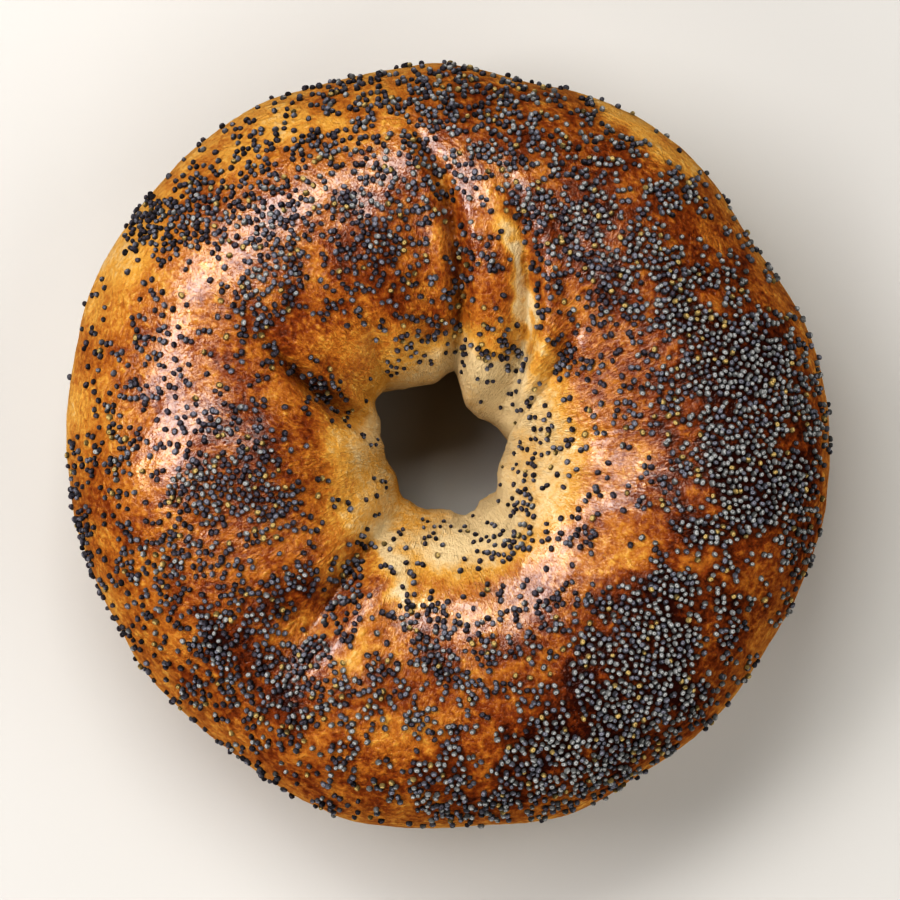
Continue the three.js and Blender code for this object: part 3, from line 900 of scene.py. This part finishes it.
def crust_mesh():
    """The closed grid of the crust with its fields."""
    points, angle, around, radius, near_fold = crust_points()
    rows, columns = angle.shape
    here = np.arange(rows * columns).reshape(rows, columns)
    beside = np.roll(here, -1, 0)
    above = np.roll(here, -1, 1)
    opposite = np.roll(beside, -1, 1)
    quads = np.stack([here, beside, opposite, above], -1).reshape(-1, 4)
    mesh = bpy.data.meshes.new("bagel_crust")
    mesh.from_pydata((points * MM).reshape(-1, 3), [], quads)
    mesh.shade_smooth()
    lit = past_waist(around)
    cover = seed_cover(around, points)
    # Seeds are picked paler towards the right side, painted light where the light catches them, and
    # paler in thick drifts
    right = 0.5 + 0.5 * np.cos(np.radians(angle + 15))
    grey = np.maximum(0.8 * right * smoothstep(radius, 20, 42), 0.34 * smoothstep(cover, 0.45, 0.9))
    # Darker crust where seeds lie thick and the egg wash pools, with painted shade between the seeds,
    # deepest on the right side
    soot = cover * (0.12 + 0.2 * right * smoothstep(radius, 22, 36))
    wash = smoothstep(lit, 14, 48) * (1 - smoothstep(lit, 128, 168))
    grain = np.concatenate([ring_direction(angle) * GRAIN_ROUND, lit[..., None] * GRAIN_ALONG], -1)
    store(mesh, "browning", "FLOAT", browning(angle, around, radius, near_fold, points))
    store(mesh, "seed_cover", "FLOAT", cover)
    store(mesh, "greyness", "FLOAT", grey - 0.25)
    store(mesh, "soot", "FLOAT", soot)
    store(mesh, "grain", "FLOAT_VECTOR", grain)
    store(mesh, "egg_wash", "FLOAT", wash)
    store(mesh, "seed_size", "FLOAT", 1 - 0.28 * smoothstep(lit, 122, 160))
    mesh.update()
    return mesh


def poppy_seed(length):
    """A kidney-shaped poppy seed lying flat, sunk a little into the crust it stands on."""
    vertices = [(0, 0, -1)]
    for ring in range(1, SEED_RINGS):
        up = -math.cos(math.pi * ring / SEED_RINGS)
        reach = math.sin(math.pi * ring / SEED_RINGS)
        for side in range(SEED_SIDES):
            turn = 2 * math.pi * side / SEED_SIDES
            vertices.append((reach * math.cos(turn), reach * math.sin(turn), up))
    vertices.append((0, 0, 1))
    faces = []
    for side in range(SEED_SIDES):
        after = (side + 1) % SEED_SIDES
        faces.append((0, 1 + after, 1 + side))
        for ring in range(SEED_RINGS - 2):
            low = 1 + ring * SEED_SIDES
            high = low + SEED_SIDES
            faces.append((low + side, low + after, high + after, high + side))
        top = 1 + (SEED_RINGS - 2) * SEED_SIDES
        faces.append((top + side, top + after, len(vertices) - 1))
    shaped = []
    for x, y, z in vertices:
        notch = SEED_NOTCH * math.exp(-((x / 0.4) ** 2)) * max(-y, 0)
        across = (y + notch + SEED_BEND * x * x) * SEED_WIDTH
        shaped.append((x * length / 2, across * length, (z * SEED_THICKNESS + SEED_RISE) * length))
    mesh = bpy.data.meshes.new("poppy_seed")
    mesh.from_pydata(shaped, [], faces)
    # Distance from the axis on the top, and 1 underneath, where the painted shade is darkest
    store(mesh, "from_axis", "FLOAT", [math.hypot(x, y) if z > 0 else 1.0 for x, y, z in vertices])
    mesh.shade_smooth()
    return mesh


SEED_SOCKETS = (
    ("Geometry", "NodeSocketGeometry"),
    ("Seed Shape", "NodeSocketObject"),
    ("Seed Material", "NodeSocketMaterial"),
    ("Spacing", "NodeSocketFloat"),
    ("Lift", "NodeSocketFloat"),
    ("Random Seed", "NodeSocketInt"),
    ("Grey From", "NodeSocketFloat"),
    ("Grey To", "NodeSocketFloat"),
    ("Straw From", "NodeSocketFloat"),
    ("Straw To", "NodeSocketFloat"),
)


def random_number(tree, low, high, seed, step):
    """A random number for each point, from a seed of its own."""
    own = sums(tree, "ADD", seed, float(step))
    inputs = {2: low, 3: high, "Seed": own}
    return put(tree, "FunctionNodeRandomValue", inputs, data_type="FLOAT").outputs[1]


def logic(tree, operation, first, second):
    """The output of a node that combines two conditions."""
    return put(tree, "FunctionNodeBooleanMath", {0: first, 1: second}, operation=operation).outputs[0]


def between(tree, value, low, high):
    """True where a value is from low up to high."""
    above = put(tree, "FunctionNodeCompare", {0: value, 1: low}, operation="GREATER_EQUAL")
    below = put(tree, "FunctionNodeCompare", {0: value, 1: high}, operation="LESS_THAN")
    return logic(tree, "AND", above.outputs[0], below.outputs[0])


def stored(tree, name):
    """A field that is stored on the crust."""
    node = put(tree, "GeometryNodeInputNamedAttribute", {"Name": name}, data_type="FLOAT")
    return node.outputs[0]


def seed_tree():
    """Geometry nodes that spread one kind of seed over the crust."""
    tree = bpy.data.node_groups.new("poppy_seeds", "GeometryNodeTree")
    for name, kind in SEED_SOCKETS:
        tree.interface.new_socket(name, in_out="INPUT", socket_type=kind)
    tree.interface.new_socket("Geometry", in_out="OUTPUT", socket_type="NodeSocketGeometry")
    given = tree.nodes.new("NodeGroupInput").outputs
    seed = given["Random Seed"]
    cover = stored(tree, "seed_cover")
    scatter = put(tree, "GeometryNodeDistributePointsOnFaces", {
        "Mesh": given["Geometry"], "Distance Min": given["Spacing"], "Density Max": FULL_DENSITY,
        "Density Factor": cover, "Seed": seed}, distribute_method="POISSON")
    # The stored field holds painted light: paler seeds on the right side
    grey = sums(tree, "ADD", random_number(tree, 0.0, 1.0, seed, 1), stored(tree, "greyness"))
    straw = random_number(tree, 0.0, 1.0, seed, 2)
    this_grey = between(tree, grey, given["Grey From"], given["Grey To"])
    this_straw = between(tree, straw, given["Straw From"], given["Straw To"])
    other_kinds = logic(tree, "NAND", this_grey, this_straw)
    kept = put(tree, "GeometryNodeDeleteGeometry", {"Geometry": scatter.outputs["Points"],
                                                   "Selection": other_kinds}, domain="POINT")
    rise = sums(tree, "MULTIPLY", random_number(tree, -0.3, 1.0, seed, 3), given["Lift"])
    rise = sums(tree, "MULTIPLY", rise, cover)
    offset = put(tree, "ShaderNodeVectorMath", {0: scatter.outputs["Normal"], "Scale": rise},
                 operation="SCALE").outputs[0]
    lifted = put(tree, "GeometryNodeSetPosition", {"Geometry": kept.outputs[0], "Offset": offset})
    shape = put(tree, "GeometryNodeObjectInfo", {"Object": given["Seed Shape"]})
    sizes = random_number(tree, 0.84, 1.12, seed, 4)
    sizes = sums(tree, "MULTIPLY", sizes, stored(tree, "seed_size"))
    placed = put(tree, "GeometryNodeInstanceOnPoints", {
        "Points": lifted.outputs[0], "Instance": shape.outputs["Geometry"],
        "Rotation": scatter.outputs["Rotation"], "Scale": sizes})
    turns = put(tree, "FunctionNodeRandomValue", {
        0: (-0.6, -0.6, 0.0), 1: (0.6, 0.6, 2 * math.pi), "Seed": seed},
        data_type="FLOAT_VECTOR").outputs[0]
    turned = put(tree, "GeometryNodeRotateInstances", {"Instances": placed.outputs[0],
                                                      "Rotation": turns})
    tints = random_number(tree, 0.0, 1.0, seed, 5)
    tinted = put(tree, "GeometryNodeStoreNamedAttribute", {
        "Geometry": turned.outputs[0], "Name": "tint", "Value": tints},
        data_type="FLOAT", domain="INSTANCE")
    real = put(tree, "GeometryNodeRealizeInstances", {"Geometry": tinted.outputs[0]})
    coloured = put(tree, "GeometryNodeSetMaterial", {"Geometry": real.outputs[0],
                                                    "Material": given["Seed Material"]})
    result = tree.nodes.new("NodeGroupOutput")
    tree.links.new(coloured.outputs[0], result.inputs[0])
    return tree


def evaluated_mesh(piece):
    """The mesh that a piece's modifiers make."""
    graph = bpy.context.evaluated_depsgraph_get()
    graph.update()
    return bpy.data.meshes.new_from_object(piece.evaluated_get(graph), depsgraph=graph)


def scatter_kind(name, ground, tree, values):
    """One kind of seed as a plain joined mesh."""
    piece = bpy.data.objects.new(name, ground.copy())
    bpy.context.collection.objects.link(piece)
    modifier = piece.modifiers.new("seeds", "NODES")
    modifier.node_group = tree
    for item in tree.interface.items_tree:
        if item.in_out == "INPUT" and item.name in values:
            modifier[item.identifier] = values[item.name]
    mesh = evaluated_mesh(piece)
    mesh.name = name
    piece.modifiers.clear()
    piece.data = mesh
    return piece


class BAGEL_OT_crust(bpy.types.Operator):
    """Makes the baked dough as one closed mesh"""

    bl_idname = "bagel.crust"
    bl_label = "Make the Crust"

    def execute(self, context):
        mesh = crust_mesh()
        piece = bpy.data.objects.new("bagel_crust", mesh)
        context.collection.objects.link(piece)
        mesh.materials.append(crust_material(context.scene.bagel_dough))
        claim(piece)
        return {"FINISHED"}


class BAGEL_OT_seeds(bpy.types.Operator):
    """Scatters the poppy seeds over the crust, one joined mesh for each kind"""

    bl_idname = "bagel.seeds"
    bl_label = "Scatter the Poppy Seeds"

    def execute(self, context):
        seeds = context.scene.bagel_seeds
        ground = bpy.data.objects["bagel_crust"].data
        shape = bpy.data.objects.new("poppy_seed", poppy_seed(seeds.length))
        tree = seed_tree()
        skin = seed_skin_group()
        share = seeds.straw_share
        kinds = (
            ("seeds_dark", seeds.dark, -FAR, BLUE_FROM, share, FAR),
            ("seeds_blue", seeds.blue, BLUE_FROM, SLATE_FROM, share, FAR),
            ("seeds_slate", seeds.slate, SLATE_FROM, FAR, share, FAR),
            ("seeds_straw", seeds.straw, -FAR, FAR, -FAR, share),
        )
        for name, colour, grey_from, grey_to, straw_from, straw_to in kinds:
            piece = scatter_kind(name, ground, tree, {
                "Seed Shape": shape,
                "Seed Material": seed_material(name, colour, skin),
                "Spacing": seeds.spacing,
                "Lift": seeds.lift,
                "Random Seed": seeds.random_seed,
                "Grey From": grey_from,
                "Grey To": grey_to,
                "Straw From": straw_from,
                "Straw To": straw_to,
            })
            claim(piece)
        bpy.data.objects.remove(shape)
        return {"FINISHED"}


def softbox(name, azimuth, elevation, distance, size, colour, mirrored, power):
    """A rectangular light that looks at the bagel."""
    data = bpy.data.lights.new(name, "AREA")
    data.shape = "RECTANGLE"
    data.size, data.size_y = size
    data.energy = power
    data.color = colour
    light = bpy.data.objects.new(name, data)
    bpy.context.collection.objects.link(light)
    turn = math.radians(azimuth)
    tilt = math.radians(elevation)
    flat = math.cos(tilt)
    direction = Vector((math.cos(turn) * flat, math.sin(turn) * flat, math.sin(tilt)))
    light.location = direction * distance
    light.rotation_euler = (-direction).to_track_quat("-Z", "Y").to_euler()
    light.visible_glossy = mirrored


def pale_floor(colour):
    """The floor that the bagel lies on, which doesn't show in the gloss."""
    half = FLOOR_WIDTH / 2
    corners = [(-half, -half, 0), (half, -half, 0), (half, half, 0), (-half, half, 0)]
    mesh = bpy.data.meshes.new("floor")
    mesh.from_pydata(corners, [], [(0, 1, 2, 3)])
    material, _, shader = new_material("floor")
    shader.inputs["Base Color"].default_value = (*colour, 1)
    shader.inputs["Roughness"].default_value = 0.8
    mesh.materials.append(material)
    floor = bpy.data.objects.new("floor", mesh)
    bpy.context.collection.objects.link(floor)
    floor.visible_glossy = False


def room_light(scene, strength):
    """A weak even light from all round, which doesn't show in the gloss."""
    world = bpy.data.worlds.new("studio")
    scene.world = world
    world.use_nodes = True
    background = world.node_tree.nodes["Background"]
    background.inputs["Color"].default_value = (1, 1, 1, 1)
    background.inputs["Strength"].default_value = strength
    world.cycles_visibility.glossy = False


def camera_above(scene, lens):
    """The camera, straight above, far enough off that a photo pixel covers PIXEL at the waist."""
    data = bpy.data.cameras.new("camera")
    data.lens = lens
    data.sensor_width = SENSOR_WIDTH
    camera = bpy.data.objects.new("camera", data)
    bpy.context.collection.objects.link(camera)
    x, y = photo_place(PHOTO_FRAME / 2, PHOTO_FRAME / 2)
    distance = PHOTO_FRAME * PIXEL / SENSOR_WIDTH * lens
    camera.location = (x * MM, y * MM, (WAIST_HEIGHT + distance) * MM)
    scene.camera = camera


class BAGEL_OT_studio(bpy.types.Operator):
    """Sets the floor, the soft lights and the camera that looks straight down"""

    bl_idname = "bagel.studio"
    bl_label = "Set the Studio"

    def execute(self, context):
        studio = context.scene.bagel_studio
        pale_floor(studio.floor_colour)
        for box in SOFTBOXES:
            softbox(*box, getattr(studio, box[0] + "_power"))
        room_light(context.scene, studio.ambient)
        camera_above(context.scene, studio.lens)
        context.scene.view_settings.view_transform = "Standard"
        context.scene.view_settings.look = "High Contrast"
        return {"FINISHED"}


class BAGEL_PT_tools(bpy.types.Panel):
    """Lists the settings and the steps in the sidebar"""

    bl_idname = "BAGEL_PT_tools"
    bl_label = "Bagel"
    bl_space_type = "VIEW_3D"
    bl_region_type = "UI"
    bl_category = "Bagel"

    def draw(self, context):
        for name, operator in STEPS:
            settings = getattr(context.scene, name)
            box = self.layout.box()
            for setting in settings.__annotations__:
                box.prop(settings, setting)
            box.operator(operator)


STEPS = (
    ("bagel_dough", "bagel.crust"),
    ("bagel_seeds", "bagel.seeds"),
    ("bagel_studio", "bagel.studio"),
)
CLASSES = (
    BagelDough,
    BagelSeeds,
    BagelStudio,
    BAGEL_OT_crust,
    BAGEL_OT_seeds,
    BAGEL_OT_studio,
    BAGEL_PT_tools,
)


def register():
    for one in CLASSES:
        bpy.utils.register_class(one)
    bpy.types.Scene.bagel_dough = bpy.props.PointerProperty(type=BagelDough)
    bpy.types.Scene.bagel_seeds = bpy.props.PointerProperty(type=BagelSeeds)
    bpy.types.Scene.bagel_studio = bpy.props.PointerProperty(type=BagelStudio)


def unregister():
    del bpy.types.Scene.bagel_studio
    del bpy.types.Scene.bagel_seeds
    del bpy.types.Scene.bagel_dough
    for one in reversed(CLASSES):
        bpy.utils.unregister_class(one)


def main():
    register()
    bpy.ops.bagel.crust()
    bpy.ops.bagel.seeds()
    bpy.ops.bagel.studio()


if __name__ == "__main__":
    main()
